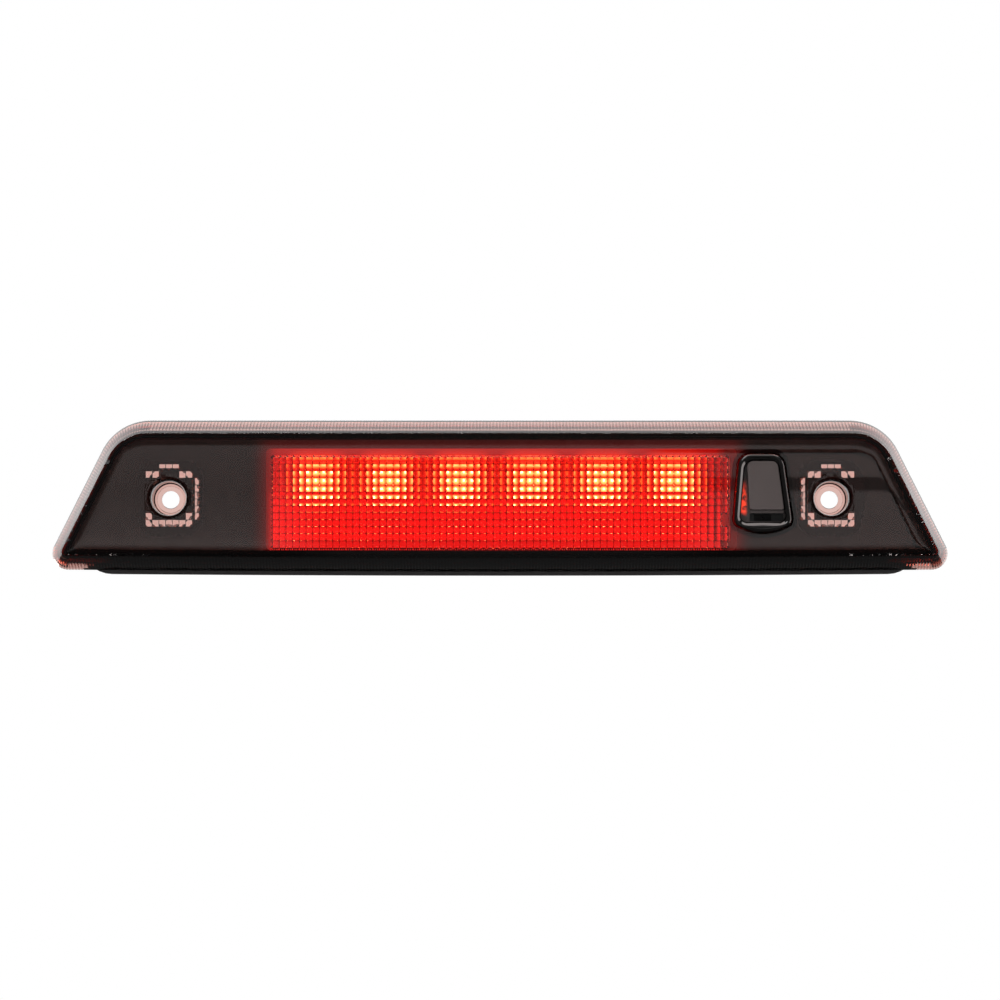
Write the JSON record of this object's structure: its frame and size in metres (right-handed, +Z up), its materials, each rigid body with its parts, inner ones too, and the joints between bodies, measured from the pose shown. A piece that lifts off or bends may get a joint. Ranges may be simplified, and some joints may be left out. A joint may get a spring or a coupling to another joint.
{
  "type": "third brake light with washer nozzle",
  "caption": "Wide low trapezoid third brake light: smoked clear lens over a black housing, a row of red lights in a tray, screw wells at both ends and a washer nozzle.",
  "frame": {"origin": "midway between the two mounting screw holes, on the plane where the lens wells meet the tailgate", "axes": "+X along the lamp, to the right when it is seen from behind the vehicle; -Y is the way the light shines, so +Y points into the tailgate; +Z up"},
  "size_m": [0.33, 0.055, 0.0572],
  "materials": {
    "tinted_lens": "smoked red-tinted clear acrylic, gloss, with pillow optics inside",
    "sealant": "cured adhesive bead",
    "housing_plastic": "black moulded plastic",
    "reflector_red": "red moulded plastic",
    "circuit_board": "green solder mask",
    "led_red": "clear red epoxy, lit",
    "resistor_black": "printed resistor body",
    "component_black": "moulded epoxy",
    "zinc_steel": "zinc plated",
    "tinned_brass": "tin plated brass",
    "solder": "bright solder",
    "connector_plastic": "black glass-filled nylon",
    "seal_rubber": "silicone rubber",
    "foam": "closed-cell foam",
    "membrane": "white breathable film",
    "bezel_gloss": "piano black",
    "nozzle_satin": "satin dark grey plastic",
    "insert_plastic": "fine-grained plastic",
    "grommet_rubber": "soft rubber",
    "spring_steel": "stamped spring steel",
    "poppet_plastic": "natural acetal",
    "spring_wire": "stainless wire",
    "barb_plastic": "black nylon"
  },
  "bodies": {
    "lamp": {"outer_lens": "tinted_lens", "lens_sealant": "sealant", "rear_housing": "housing_plastic", "reflector": "reflector_red", "led_board": "circuit_board", "led_1": "led_red", "led_2": "led_red", "led_3": "led_red", "led_4": "led_red", "led_5": "led_red", "led_6": "led_red", "series_resistors": "resistor_black", "blocking_diode": "component_black", "surge_suppressor": "component_black", "current_regulator": "component_black", "board_screws": "zinc_steel", "terminal_blades": "tinned_brass", "solder_joints": "solder", "connector_header": "connector_plastic", "header_seal": "seal_rubber", "body_gasket": "foam", "vent_cap": "connector_plastic", "vent_membrane": "membrane", "nozzle_bezel": "bezel_gloss", "nozzle_body": "nozzle_satin", "nozzle_insert": "insert_plastic", "nozzle_grommet": "grommet_rubber", "retaining_clip": "spring_steel", "check_spring": "spring_wire", "hose_barb": "barb_plastic", "barb_o_ring": "grommet_rubber"},
    "poppet": {"check_poppet": "poppet_plastic"}
  },
  "joints": [
    {"name": "check_valve_lift", "type": "slide", "parent": "lamp", "child": "poppet", "axis": [0, -1, 0], "range_m": [0, 0.0012], "stiffness_N_per_m": 120, "springref_m": -0.003, "deforming": ["check_spring"]}
  ]
}
